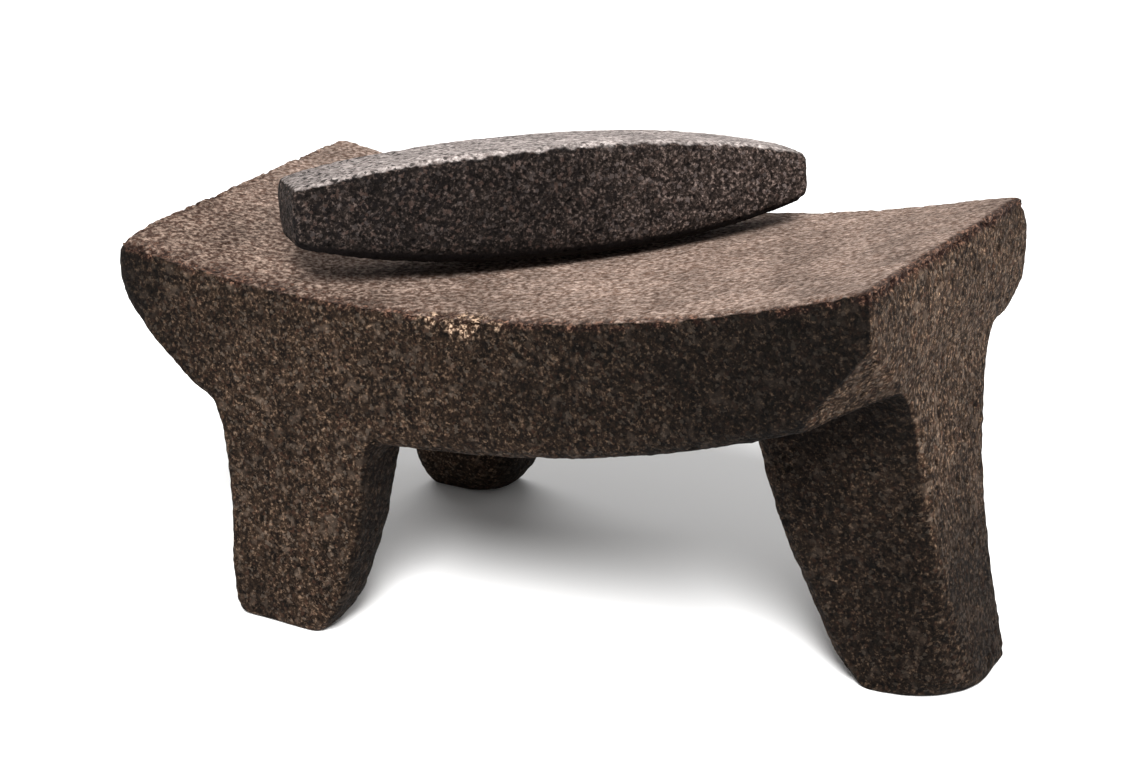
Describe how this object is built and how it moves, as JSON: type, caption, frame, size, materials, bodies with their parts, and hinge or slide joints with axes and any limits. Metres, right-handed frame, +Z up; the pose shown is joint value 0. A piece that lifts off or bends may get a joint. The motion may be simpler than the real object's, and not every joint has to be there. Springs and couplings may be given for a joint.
{
  "type": "metate grinding stone with mano",
  "caption": "Sloping rectangular stone grinding slab with a dished top on stout carved legs, and a tapered stone roller lying diagonally on it.",
  "frame": {"origin": "centre of the bounding box at its base, on the surface that the feet stand on", "axes": "+X along the slab towards its high end, which has the single leg; +Y across the slab; +Z up"},
  "size_m": [0.4642, 0.241, 0.2496],
  "materials": {
    "metate_stone": "rough brown vesicular basalt, paler and smoother on the worn top",
    "mano_stone": "rough grey-purple vesicular basalt with black pores"
  },
  "bodies": {
    "metate": {"metate": "metate_stone"},
    "mano": {"mano": "mano_stone"}
  },
  "joints": [
    {"name": "grinding_stroke", "type": "hinge", "parent": "metate", "child": "mano", "pos_m": [-0.0591, 0, 1.0552], "axis": [0, 1, 0], "range_deg": [-7, 5.5]}
  ]
}
